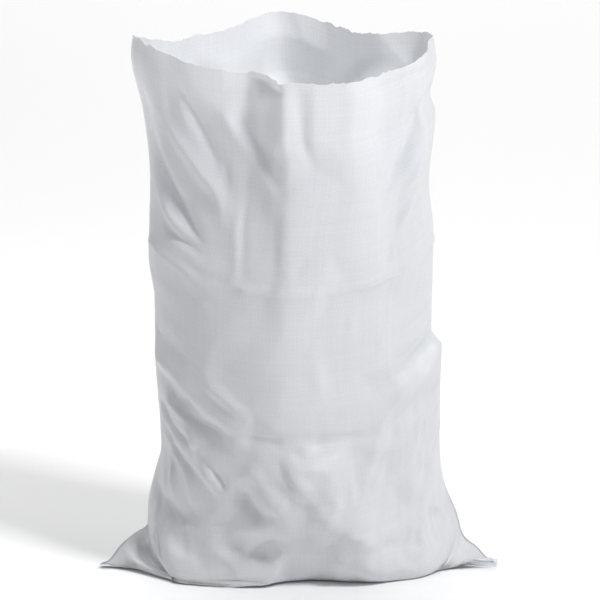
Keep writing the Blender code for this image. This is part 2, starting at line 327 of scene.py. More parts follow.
@dataclass(frozen=True)
class Fold:
    """One fold, crease or lump of the cloth, along a line on its panel.

    The line is in metres of flat cloth, across from the left fold and up from the seam, and runs downwards.
    The spreads are how far the fold reaches to the line's left and right as the front panel is seen, and the
    narrowing is the share of them that is lost by the line's end. From either end of the line the rise grows
    from the end share to the whole of it over the run-out, which is a share of the line's length. A line of
    one point is a round lump.
    """

    line: Curve
    rise: float
    spread_left: float
    spread_right: float
    crest: Crest = Crest.SOFT
    panel: Panel = Panel.FRONT
    run_out: float = 0.30
    narrowing: float = 0.0
    end_share: float = 0.15
    samples: int = 25

    @classmethod
    def in_millimetres(
        cls, crest: Crest, rise: float, left: float, right: float, *line: Point, **others: Any
    ) -> "Fold":
        """A fold whose sizes are given in millimetres of flat cloth.

        Args:
            crest: How sharply it turns.
            rise: How far it lifts the cloth, or sinks it.
            left: Its spread to the left.
            right: Its spread to the right.
            line: The points of its line.
            others: The fields that are no sizes.

        Returns:
            The fold.
        """
        metres = tuple((across / MILLIMETRES_A_METRE, up / MILLIMETRES_A_METRE) for across, up in line)
        rise, left, right = (size / MILLIMETRES_A_METRE for size in (rise, left, right))
        return cls(metres, rise, left, right, crest, **others)

    def height_at(self, across: np.ndarray, up: np.ndarray) -> np.ndarray:
        """How far the fold lifts the cloth.

        Args:
            across: Places across the panel, in metres.
            up: Places up the panel, in metres.

        Returns:
            The lift at each place.
        """
        if len(self.line) == 1:
            apart = np.hypot(across - self.line[0][0], up - self.line[0][1])
            return self.rise * np.clip(1 - apart / self.spread_left, 0, 1) ** self.crest.value
        corners = along_line(self.line, np.linspace(0.0, 1.0, self.samples))
        nearest = np.full(across.shape, np.inf)
        side = np.zeros(across.shape)
        way = np.zeros(across.shape)
        for i, (start, end) in enumerate(zip(corners, corners[1:])):
            step = end - start
            share = ((across - start[0]) * step[0] + (up - start[1]) * step[1]) / (step @ step)
            share = np.clip(share, 0.0, 1.0)
            off_across = across - start[0] - share * step[0]
            off_up = up - start[1] - share * step[1]
            apart = np.hypot(off_across, off_up)
            closer = apart < nearest
            nearest = np.where(closer, apart, nearest)
            side = np.where(closer, step[0] * off_up - step[1] * off_across, side)
            way = np.where(closer, (i + share) / (self.samples - 1), way)
        spread = np.where(side > 0, self.spread_right, self.spread_left) * (1 - self.narrowing * way)
        tent = np.clip(1 - nearest / spread, 0, 1) ** self.crest.value
        ends = eased(np.minimum(way, 1 - way) / self.run_out) if self.run_out else 1.0
        return self.rise * tent * (self.end_share + (1 - self.end_share) * ends)


# Folds in millimetres of flat cloth: rise, spread to the left, spread to the right, and the line's points
crisp = partial(Fold.in_millimetres, Crest.CRISP)
soft = partial(Fold.in_millimetres, Crest.SOFT)


@dataclass(frozen=True)
class HandledFacets:
    """The small flat facets of handled cloth, with a straight crease wherever two of them meet.

    Their corners lie at random on the flat panel, each a little in or out of it. They are smallest and
    deepest low down, where the sack was filled and dragged, but nearly flat at the seam.
    """

    panel: Panel
    seed: int
    # Least distance between corners, and how far they stand in or out, by their height up the panel
    spacing: Curve = ((0.00, 0.020), (0.30, 0.023), (0.50, 0.036), (0.89, 0.042))
    rise: Curve = (
        (0.00, 0.0004), (0.10, 0.0008), (0.14, 0.0028), (0.32, 0.0032), (0.42, 0.0028), (0.89, 0.0025),
    )
    tries: int = 6000
    # A border of corners stands outside the panel, so that the facets cover all of it
    border_off: float = 0.01
    side_corners: int = 24
    end_corners: int = 14
    end_inset: float = 0.03
    merged_within: float = 1e-6

    def corners(self) -> tuple[np.ndarray, np.ndarray]:
        """Corners that keep their distance from each other, and how far each stands out of the panel.

        Returns:
            The corners in metres of flat cloth, and their rises.
        """
        dice = np.random.default_rng(self.seed)
        across = dice.uniform(0.0, PANEL_WIDTH, self.tries)
        up = dice.uniform(0.0, PANEL_HEIGHT, self.tries)
        sides = (-self.border_off, PANEL_WIDTH + self.border_off)
        ends = (-self.border_off, PANEL_HEIGHT + self.border_off)
        border = [(x, y) for x in sides for y in np.linspace(*ends, self.side_corners)]
        between = np.linspace(self.end_inset, PANEL_WIDTH - self.end_inset, self.end_corners)
        border += [(x, y) for x in between for y in ends]
        kept = np.array(border)
        for point in np.stack([across, up], axis=1):
            if np.hypot(*(kept - point).T).min() > smooth_curve(self.spacing, point[1]):
                kept = np.vstack([kept, point])
        return kept, dice.normal(0.0, 1.0, len(kept)) * smooth_curve(self.rise, kept[:, 1])

    def height_at(self, across: np.ndarray, up: np.ndarray) -> np.ndarray:
        """How far the facets lift the cloth.

        Args:
            across: Places across the panel, in metres.
            up: Places up the panel, in metres.

        Returns:
            The lift at each place.
        """
        corners, rises = self.corners()
        # Kind 0 is plain triangles out to the corners' hull, and item 2 of the result is the triangles
        faces = delaunay_2d_cdt([Vector(corner) for corner in corners], [], [], 0, self.merged_within)[2]
        lift = np.zeros(across.shape)
        for face in faces:
            a, b, c = corners[list(face)]
            rise_a, rise_b, rise_c = rises[list(face)]
            size = (b[0] - a[0]) * (c[1] - a[1]) - (c[0] - a[0]) * (b[1] - a[1])
            to_b = ((across - a[0]) * (c[1] - a[1]) - (c[0] - a[0]) * (up - a[1])) / size
            to_c = ((b[0] - a[0]) * (up - a[1]) - (across - a[0]) * (b[1] - a[1])) / size
            within = (to_b >= 0) & (to_c >= 0) & (to_b + to_c <= 1)
            heights = rise_a + to_b * (rise_b - rise_a) + to_c * (rise_c - rise_a)
            lift = np.where(within, heights, lift)
        return lift


@dataclass(frozen=True)
class ShortCreases:
    """Short creases from handling, at random places and most of them low down."""

    seed: int = 11
    count: int = 150
    low_share: float = 0.65
    front_share: float = 0.5
    side_margin: float = 0.02
    # Between which heights the low ones and the others start, and how far each kind may rise
    low_band: Point = (0.11, 0.38)
    other_band: Point = (0.30, 0.86)
    least_rise: float = 0.0015
    most_rise_low: float = 0.0040
    most_rise_other: float = 0.0022
    lengths: Point = (0.020, 0.060)
    spreads: Point = (0.007, 0.015)
    # How far a crease leans from upright, in radians
    most_lean: float = 1.3

    def folds(self) -> Iterator[Fold]:
        """Draws the creases.

        Yields:
            One crease at a time.
        """
        dice = np.random.default_rng(self.seed)
        for _ in range(self.count):
            low = dice.random() < self.low_share
            across = dice.uniform(self.side_margin, PANEL_WIDTH - self.side_margin)
            up = dice.uniform(*(self.low_band if low else self.other_band))
            lean = dice.uniform(-self.most_lean, self.most_lean)
            length = dice.uniform(*self.lengths)
            reach = Vector((math.sin(lean), -math.cos(lean))) * length
            most_rise = self.most_rise_low if low else self.most_rise_other
            rise = dice.choice((-1.0, 1.0)) * dice.uniform(self.least_rise, most_rise)
            left, right = dice.uniform(*self.spreads, 2)
            panel = Panel.FRONT if dice.random() < self.front_share else Panel.BACK
            line = ((across, up), (across + reach[0], up + reach[1]))
            yield Fold(line, rise, left, right, Crest.CRISP, panel, samples=3)


@dataclass(frozen=True)
class PhotographedFolds:
    """The folds that the sack shows, read off one by one, and others of the same kinds on its back."""

    # Diagonal folds under the mouth's left corner, the hollow panel beside them, and the right side's
    upper_front: tuple[Fold, ...] = (
        soft(8, 24, 28, (60, 785), (95, 760), (130, 730), (160, 705), (180, 660)),
        soft(-8, 24, 34, (85, 862), (105, 838), (130, 800), (155, 755), (170, 722)),
        soft(8, 30, 22, (150, 845), (180, 815), (205, 788), (235, 745), (265, 700)),
        crisp(-11.5, 40, 90, (203, 980), (205, 860), (206, 815), (226, 778), (262, 725), run_out=0.36,
            narrowing=0.6),
        crisp(3.5, 10, 12, (282, 895), (280, 850), (281, 775), run_out=0.25),
        crisp(-4.5, 11, 14, (299, 895), (303, 835), (309, 800), (316, 750), run_out=0.35),
        crisp(3.5, 14, 45, (326, 895), (322, 840), (321, 770)),
        crisp(-4, 7, 10, (170, 765), (174, 715)),
        crisp(-5.5, 11, 13, (196, 880), (240, 878), (292, 872)),
        crisp(5, 12, 12, (395, 882), (480, 884), (575, 884)),
        crisp(-4, 10, 10, (400, 868), (480, 869), (570, 870)),
        soft(-12.5, 30, 30, (30, 745), (45, 708), (65, 684), (95, 660), (130, 636), (150, 618)),
        soft(6, 24, 20, (28, 668), (75, 640), (115, 625)),
        crisp(-6, 12, 12, (62, 618), (115, 615), (148, 608)),
        crisp(-4, 7, 7, (83, 845), (75, 790)),
        crisp(-3, 6, 6, (94, 842), (88, 800)),
        soft(-12, 34, 32, (528, 835), (482, 772), (458, 730), (444, 690)),
        crisp(5, 14, 12, (502, 724), (500, 692)),
        crisp(6, 14, 14, (508, 672), (485, 638)),
        soft(5, 18, 18, (548, 790), (536, 735), (540, 690)),
        crisp(-2.5, 8, 14, (205, 780), (208, 700), (218, 570)),
        crisp(2.5, 12, 8, (196, 700), (203, 640), (212, 580)),
        crisp(-2.2, 10, 10, (264, 700), (268, 640), (272, 580)),
    )
    # The creases from the pack, and what runs into them
    middle_front: tuple[Fold, ...] = (
        crisp(5.5, 36, 55, (-10, 566), (120, 571), (300, 567), (610, 570), run_out=0.0),
        crisp(-6, 14, 16, (118, 582), (150, 576), (185, 574), (212, 568)),
        soft(4, 14, 14, (228, 568)),
        crisp(5, 12, 16, (390, 569), (430, 572), (480, 580)),
        crisp(9, 20, 46, (10, 384), (75, 392), (115, 386), (145, 372), (175, 364), (215, 354),
            run_out=0.15),
        crisp(7, 14, 22, (55, 340), (100, 338), (132, 330)),
        soft(6, 18, 22, (150, 418), (195, 398), (235, 366)),
        crisp(-6, 16, 16, (20, 318), (75, 305), (130, 300)),
        soft(-7, 14, 14, (270, 340)),
        crisp(-5, 30, 14, (262, 346), (310, 343), (370, 340), (440, 338), run_out=0.35),
        crisp(5, 60, 20, (332, 480), (346, 436), (352, 392)),
        crisp(10, 32, 26, (484, 430), (530, 446), (590, 452)),
        crisp(-10, 18, 24, (500, 408), (590, 400)),
        crisp(9, 30, 32, (452, 356), (500, 370), (575, 372)),
        soft(5, 34, 26, (400, 312), (480, 306)),
    )
    # Creases, lobes and lumps above the floor
    lower_front: tuple[Fold, ...] = (
        crisp(30, 95, 100, (268, 350), (285, 315), (310, 262), (345, 225), (400, 175), (450, 130),
            run_out=0.3),
        crisp(-26, 34, 14, (12, 86), (30, 80), (55, 83), (85, 88), (112, 84), run_out=0.2, narrowing=0.5),
        crisp(-6, 12, 16, (40, 282), (88, 260), (115, 257), (142, 244)),
        crisp(-7, 12, 14, (150, 288), (170, 272), (190, 252)),
        soft(8, 16, 16, (62, 236), (72, 212), (80, 190)),
        soft(6, 12, 14, (108, 246), (116, 226), (120, 204)),
        crisp(-9, 14, 14, (72, 176), (98, 182), (125, 186)),
        crisp(9, 30, 22, (214, 298), (235, 286), (256, 264), (272, 226)),
        soft(-9, 22, 22, (202, 258), (228, 236), (252, 214)),
        crisp(10, 34, 26, (226, 190), (255, 202), (288, 180)),
        crisp(7, 22, 20, (130, 192), (160, 184), (188, 178)),
        crisp(4, 7, 7, (352, 246), (362, 234)),
        crisp(4, 7, 7, (326, 206), (358, 203)),
        crisp(-5, 22, 18, (340, 190), (352, 160), (345, 135)),
        crisp(5, 20, 24, (390, 196), (402, 150)),
        soft(8, 45, 40, (470, 250), (540, 176)),
        crisp(4, 9, 9, (516, 266), (522, 228)),
        crisp(7, 26, 22, (145, 168), (190, 148), (215, 132)),
        crisp(-6, 20, 20, (228, 160), (262, 140)),
        soft(6, 26, 26, (380, 146), (430, 118)),
        crisp(-6, 20, 20, (452, 146), (482, 116)),
    )
    # The back panel's folds, of the same kinds
    back: tuple[Fold, ...] = tuple(
        replace(fold, panel=Panel.BACK)
        for fold in (
            crisp(3.5, 80, 60, (-10, 566), (610, 570), run_out=0.0),
            crisp(-3.5, 20, 45, (-10, 340), (610, 336), run_out=0.0),
            crisp(3, 24, 24, (300, 880), (298, 700), (304, 574)),
            crisp(-14, 30, 34, (520, 840), (470, 770), (430, 700), (410, 640)),
            soft(9, 30, 26, (480, 850), (430, 790), (390, 720)),
            soft(-12, 26, 26, (560, 740), (510, 690), (470, 620)),
            crisp(-13, 28, 32, (70, 830), (120, 760), (150, 700)),
            soft(9, 28, 28, (110, 850), (165, 780), (200, 720)),
            soft(-10, 26, 26, (60, 690), (110, 640), (150, 600)),
            crisp(-11, 24, 26, (40, 420), (120, 400), (190, 372)),
            crisp(-10, 24, 24, (420, 372), (490, 404), (570, 412)),
            soft(11, 32, 36, (400, 280), (450, 240), (470, 200)),
            soft(10, 30, 34, (200, 270), (180, 220), (200, 180)),
            crisp(-9, 26, 26, (300, 240), (330, 190)),
            crisp(-8, 22, 22, (90, 230), (120, 180)),
        )
    )
    # The sharp lines of the creases from the pack, which the settled cloth keeps
    pack_lines: tuple[Fold, ...] = (
        crisp(2.2, 8, 14, (-10, 568), (120, 574), (300, 568), (440, 574), (610, 570), run_out=0.0),
        crisp(-2, 12, 8, (60, 350), (170, 345), (260, 347), (400, 340), (540, 344), run_out=0.15),
        crisp(1.8, 8, 12, (-10, 567), (300, 564), (610, 571), panel=Panel.BACK, run_out=0.0),
        crisp(-1.6, 10, 8, (-10, 341), (300, 344), (610, 337), panel=Panel.BACK, run_out=0.0),
    )
    short_creases: ShortCreases = ShortCreases()
    front_facets: HandledFacets = HandledFacets(Panel.FRONT, seed=3)
    back_facets: HandledFacets = HandledFacets(Panel.BACK, seed=4)

    def broad(self) -> Iterator[Fold]:
        """The folds that the cloth settles round.

        Yields:
            One fold at a time.
        """
        yield from self.upper_front
        yield from self.middle_front
        yield from self.lower_front
        yield from self.back

    def fine(self) -> Iterator[Fold | HandledFacets]:
        """The creases and facets that are pressed into the settled cloth.

        Yields:
            One crease, or one panel's facets, at a time.
        """
        yield from self.pack_lines
        yield from self.short_creases.folds()
        yield self.front_facets
        yield self.back_facets


@dataclass
class Settling:
    """Lets a grid of cloth points settle until its threads have their length and its bends suit the cloth.

    Each round moves every point by what its threads, its stiffness, its place in the form and the floor ask.
    A grid is rows of points round the tube, from the seam up to the mouth.
    """

    # How firmly a point is held to its place in the form, and what a side fold and the rim add to that
    hold: float = 0.060
    side_hold: float = 0.60
    rim_hold: float = 0.30
    # What the rim adds fades out over this share of the cloth's height
    rim_share: float = 0.015
    # The seam, and what lies lower than this on the floor, have holds of their own
    seam_hold: float = 0.30
    near_floor: float = 0.003
    floor_hold: float = 0.05
    # How much of the flat cloth's spare length may buckle by itself, beside what the authored folds take
    fullness: float = 0.35
    # How often the authored lengths are evened out among neighbours on the finest grid
    evening: int = 32
    # The threads pull this firmly, and the bias by this share of it, because a weave gives there
    thread_pull: float = 0.5
    bias: float = 0.3
    # How firmly a bend is straightened, and the angle in radians at which that is down to a half
    stiffness: float = 0.08
    crease_angle: float = 0.25
    # A round keeps this share of the last one's speed, and adds this share of the push
    momentum: float = 0.9
    step: float = 0.4
    # For each stage, how much coarser its grid is, how many rounds it runs and how far it is shaken first
    stages: tuple[tuple[int, int, float], ...] = ((4, 900, 0.0015), (2, 700, 0.0005), (1, 450, 0.0002))
    # The cloth's points stay this far above the floor
    floor: float = 0.0006
    # The panels keep this apart, or less near a fold and the seam, where they open at this slope
    least_gap: float = 0.005
    fold_opening: float = 0.36
    seed: int = 7

    def settle(self, goal: np.ndarray) -> np.ndarray:
        """Settles the cloth, first coarsely and then with every point.

        Args:
            goal: The authored points.

        Returns:
            The settled points.
        """
        dice = np.random.default_rng(self.seed)
        rows, columns = goal.shape[0] - 1, goal.shape[1] // 2
        points = goal
        for coarse, rounds, shake in self.stages:
            here = self.resampled(goal, rows // coarse, columns // coarse)
            points = self.resampled(points, rows // coarse, columns // coarse)
            points = points + dice.normal(0.0, shake, points.shape)
            points = self.relaxed(points, here, self.drawn_lengths(here, self.evening // coarse**2), rounds)
            LOG.info("settled at 1:%d, threads at %s of their length", coarse, self.stretch(points))
        return points

    @staticmethod
    def resampled(points: np.ndarray, rows: int, columns: int) -> np.ndarray:
        """The same cloth with another number of points.

        Args:
            points: The grid.
            rows: Steps up the cloth.
            columns: Steps across one panel.

        Returns:
            The new grid.
        """
        up = np.linspace(0, points.shape[0] - 1, rows + 1)
        low = np.minimum(up.astype(int), points.shape[0] - 2)
        share = (up - low)[:, None, None]
        points = points[low] * (1 - share) + points[low + 1] * share
        around = np.arange(2 * columns) * (points.shape[1] / (2 * columns))
        near = around.astype(int)
        share = (around - near)[None, :, None]
        return points[:, near] * (1 - share) + np.roll(points, -1, 1)[:, near] * share

    @staticmethod
    def flat_steps(points: np.ndarray) -> Point:
        """How far apart neighbouring points lie on the flat cloth, across and up."""
        return 2 * PANEL_WIDTH / points.shape[1], PANEL_HEIGHT / (points.shape[0] - 1)

    @staticmethod
    def gaps(points: np.ndarray) -> list[np.ndarray]:
        """The four kinds of step to the next points: across, up, and along both ways of the bias."""
        right, left = np.roll(points, -1, 1), np.roll(points, 1, 1)
        return [right - points, points[1:] - points[:-1], right[1:] - points[:-1], left[1:] - points[:-1]]

    def stretch(self, points: np.ndarray) -> Point:
        """How long the threads across and up are, beside the flat cloth.

        Args:
            points: The grid.

        Returns:
            Their mean lengths as shares of the flat ones.
        """
        wide, high = self.flat_steps(points)
        across, up = (np.linalg.norm(gap, axis=2).mean() for gap in self.gaps(points)[:2])
        return round(float(across / wide), 3), round(float(up / high), 3)

    def drawn_lengths(self, goal: np.ndarray, passes: int) -> list[np.ndarray]:
        """The length that each thread and bias settles to, between the authored one and the flat cloth's.

        Args:
            goal: The authored points.
            passes: How often the authored lengths are evened out among neighbours.

        Returns:
            Lengths for each of the four kinds of step.
        """
        wide, high = self.flat_steps(goal)
        drawn = []
        for gap, flat in zip(self.gaps(goal), (wide, high, math.hypot(wide, high), math.hypot(wide, high))):
            length = np.linalg.norm(gap, axis=2, keepdims=True)
            for _ in range(passes):
                length = (2 * length + np.roll(length, 1, 1) + np.roll(length, -1, 1)) / 4
                padded = np.pad(length, ((1, 1), (0, 0), (0, 0)), mode="edge")
                length = (2 * length + padded[:-2] + padded[2:]) / 4
            drawn.append(length + (flat - length) * self.fullness)
        return drawn

    def holds(self, goal: np.ndarray) -> np.ndarray:
        """How firmly each point is held to its place in the form.

        Args:
            goal: The authored points.

        Returns:
            A hold for each point.
        """
        wide, _ = self.flat_steps(goal)
        rows, around, _ = goal.shape
        half = around // 2
        from_left = np.arange(around) % half
        to_side = np.minimum(from_left, half - from_left) * wide
        side = np.clip(1 - to_side / SIDE_BAND, 0, 1)[None, :, None]
        up = np.linspace(0.0, 1.0, rows)[:, None, None]
        rim = np.clip((up - (1 - self.rim_share)) / self.rim_share, 0, 1)
        hold = self.hold + self.rim_hold * rim + self.side_hold * side
        hold = np.where(goal[..., 2:] < self.near_floor, self.floor_hold, hold)
        hold[0] = self.seam_hold
        return hold

    def relaxed(
        self, points: np.ndarray, goal: np.ndarray, drawn: list[np.ndarray], rounds: int
    ) -> np.ndarray:
        """Runs the rounds on one grid.

        Args:
            points: Where the cloth starts.
            goal: The authored points that it is drawn to.
            drawn: The lengths that its threads and biases settle to.
            rounds: How many rounds.

        Returns:
            Where the cloth ends up.
        """
        hold = self.holds(goal)
        bend_limit = (self.crease_angle * sum(self.flat_steps(goal)) / 2) ** 2
        speed = np.zeros_like(points)
        for _ in range(rounds):
            push = hold * (goal - points)
            self.pull(points, push, drawn)
            self.bend(points, push, bend_limit)
            speed = self.momentum * speed + self.step * push
            points = points + speed
            self.keep_out(points)
        return points

    def pull(self, points: np.ndarray, push: np.ndarray, drawn: list[np.ndarray]) -> None:
        """Draws neighbours to their distance, firmly along the threads and less on the bias.

        Args:
            points: The grid.
            push: How far each point is to move, which this adds to.
            drawn: The lengths that the four kinds of step are drawn to.
        """
        gaps = self.gaps(points)
        bias_pull = self.thread_pull * self.bias
        pulls = (self.thread_pull, self.thread_pull, bias_pull, bias_pull)
        for gap, length, firm in zip(gaps, drawn, pulls):
            gap *= firm * (1 - length / np.linalg.norm(gap, axis=2, keepdims=True))
        across, up, rising, falling = gaps
        push += across - np.roll(across, 1, 1)
        push[:-1] += up + rising + falling
        push[1:] -= up + np.roll(rising, 1, 1) + np.roll(falling, -1, 1)

    def bend(self, points: np.ndarray, push: np.ndarray, limit: float) -> None:
        """Straightens gentle bends: half of a bend is taken by its point and a quarter by each neighbour.

        Args:
            points: The grid.
            push: How far each point is to move, which this adds to.
            limit: The square of the bend that a crease starts at.
        """
        curl = self.softened(np.roll(points, 1, 1) + np.roll(points, -1, 1) - 2 * points, limit)
        push += 0.5 * curl - 0.25 * (np.roll(curl, 1, 1) + np.roll(curl, -1, 1))
        curl = self.softened(points[2:] + points[:-2] - 2 * points[1:-1], limit)
        push[1:-1] += 0.5 * curl
        push[2:] -= 0.25 * curl
        push[:-2] -= 0.25 * curl

    def softened(self, curl: np.ndarray, limit: float) -> np.ndarray:
        """Weakens what straightens a bend the sharper it is, so that it stays as a crease."""
        return curl * (self.stiffness / (1 + (curl * curl).sum(2, keepdims=True) / limit))

    def keep_out(self, points: np.ndarray) -> None:
        """Keeps the cloth above the floor and the hem, its panels apart, and its seam closed.

        Args:
            points: The grid, which is changed in place.
        """
        over_hem = 1 - eased((np.abs(points[..., 1]) - HEM_BELOW_SEAM) / HEM_BELOW_SEAM)
        lowest = self.floor + (SEAM_REST_HEIGHT - self.floor) * over_hem
        points[..., 2] = np.maximum(points[..., 2], lowest)
        rows, around, _ = points.shape
        half = around // 2
        front = points[:, 1:half]
        back = points[:, : half : -1]
        wide, high = self.flat_steps(points)
        from_left = np.arange(1, half)
        to_side = wide * np.minimum(from_left, half - from_left)[None, :]
        to_seam = high * np.arange(rows)[:, None]
        least = np.minimum(self.least_gap, self.fold_opening * np.minimum(to_seam, to_side))
        short = np.clip(least - (back[..., 1] - front[..., 1]), 0, None) / 2
        front[..., 1] -= short
        back[..., 1] += short
        points[0] = (points[0] + points[0][(-np.arange(around)) % around]) / 2


@dataclass
class SackCloth:
    """The sack's cloth, as a grid of points that keeps the cloth's own measures."""

    form: SackForm = field(default_factory=SackForm)
    folds: PhotographedFolds = field(default_factory=PhotographedFolds)
    settling: Settling = field(default_factory=Settling)
    columns: int = 120
    rows: int = 178
    # The mouth is cut bare: the cut jumps from tape to tape, the tapes end unevenly and a few stick out
    cut_jump: float = 0.0011
    jump_every: int = 3
    fray: float = 0.0004
    loose_tapes: float = 0.03
    loose_lengths: Point = (0.001, 0.002)
    fray_seed: int = 21
    # A normal counts as at least this long, so that none is divided by nothing
    shortest_normal: float = 1e-9

    def places(self) -> np.ndarray:
        """Places across one panel, from 0 at the left fold to 1 at the right."""
        return np.linspace(0.0, 1.0, self.columns + 1)

    def form_points(self) -> np.ndarray:
        """The authored form, without its folds.

        Returns:
            Rows of points round the tube: the front from left to right, then the back from right to left.
        """
        rows = []
        for share in np.linspace(0.0, 1.0, self.rows + 1):
            front = self.form.ring(Panel.FRONT, share, self.places())
            back = self.form.ring(Panel.BACK, share, self.places())
            rows.append(np.concatenate([front, back[-2:0:-1]]))
        return np.array(rows)

    def outward(self, points: np.ndarray) -> np.ndarray:
        """Unit normals of the grid, pointing out of the sack.

        Args:
            points: Rows of points round the tube.

        Returns:
            A normal for each point.
        """
        around = np.roll(points, -1, 1) - np.roll(points, 1, 1)
        up = np.gradient(points, axis=0)
        normal = np.cross(around, up)
        return normal / np.maximum(np.linalg.norm(normal, axis=2, keepdims=True), self.shortest_normal)

    def lifts(self, folds: Iterator[Fold | HandledFacets]) -> np.ndarray:
        """How far the folds lift each point of the grid.

        Args:
            folds: The folds and facets, of both panels.

        Returns:
            A lift for each point, along its normal.
        """
        heights = np.linspace(0, PANEL_HEIGHT, self.rows + 1)
        up, across = np.meshgrid(heights, self.places() * PANEL_WIDTH, indexing="ij")
        lifts = {panel: np.zeros(across.shape) for panel in Panel}
        for fold in folds:
            lifts[fold.panel] += fold.height_at(across, up)
        fading = eased(np.minimum(across, PANEL_WIDTH - across) / SIDE_BAND)
        front, back = lifts[Panel.FRONT] * fading, lifts[Panel.BACK] * fading
        return np.concatenate([front, back[:, -2:0:-1]], axis=1)

    def points(self) -> np.ndarray:
        """The settled cloth, with its finest creases pressed in afterwards.

        Returns:
            Rows of points round the tube.
        """
        form = self.form_points()
        goal = form + self.outward(form) * self.lifts(self.folds.broad())[..., None]
        settled = self.settling.settle(goal)
        creased = settled + self.outward(settled) * self.lifts(self.folds.fine())[..., None]
        self.settling.keep_out(creased)
        creased[-1, :, 2] += self.cut_edge(creased.shape[1])
        return creased

    def cut_edge(self, count: int) -> np.ndarray:
        """How far above their row the points of the cut mouth end.

        Args:
            count: How many points go round the mouth.

        Returns:
            A rise for each point.
        """
        dice = np.random.default_rng(self.fray_seed)
        jumps = np.repeat(dice.normal(0.0, self.cut_jump, count // self.jump_every), self.jump_every)
        loose = dice.random(count) < self.loose_tapes
        return jumps + dice.normal(0.0, self.fray, count) + loose * dice.uniform(*self.loose_lengths, count)

    def make_mesh(self, name: str, points: np.ndarray) -> bpy.types.Object:
        """A tube of quads through the points, with a sharp edge round its mouth and the cloth's UV map.

        Args:
            name: The object's name.
            points: Rows of points round the tube.

        Returns:
            The object.
        """
        rows, around, _ = points.shape
        index = np.arange(rows * around).reshape(rows, around)
        lower, upper = index[:-1], index[1:]
        corners = [lower, np.roll(lower, -1, 1), np.roll(upper, -1, 1), upper]
        quads = np.stack(corners, axis=-1).reshape(-1, 4)
        mesh = bpy.data.meshes.new(name)
        mesh.from_pydata(points.reshape(-1, 3).tolist(), [], quads.tolist())
        column, row = np.meshgrid(np.arange(around), np.arange(rows - 1))
        left, right = column / around, (column + 1) / around
        scale = PANEL_HEIGHT / (2 * PANEL_WIDTH) / (rows - 1)
        low, high = row * scale, (row + 1) * scale
        flat = np.stack([left, low, right, low, right, high, left, high], axis=-1)
        mesh.uv_layers.new(name=FLAT_CLOTH).data.foreach_set("uv", flat.astype(np.float32).ravel())
        mesh.shade_smooth()
        on_rim = [min(edge.vertices) >= (rows - 1) * around for edge in mesh.edges]
        mesh.attributes.new("sharp_edge", "BOOLEAN", "EDGE").data.foreach_set("value", on_rim)
        return add_object(name, mesh)

    def build(self, points: np.ndarray, finish: bpy.types.Material) -> bpy.types.Object:
        """Makes the cloth from its settled points.

        Args:
            points: Rows of points round the tube.
            finish: The cloth's material.

        Returns:
            The object.
        """
        cloth = self.make_mesh("sack_cloth", points)
        solid = cloth.modifiers.new("cloth thickness", "SOLIDIFY")
        solid.thickness = CLOTH_THICKNESS
        solid.offset = -1.0
        cloth.data.materials.append(finish)
        return cloth


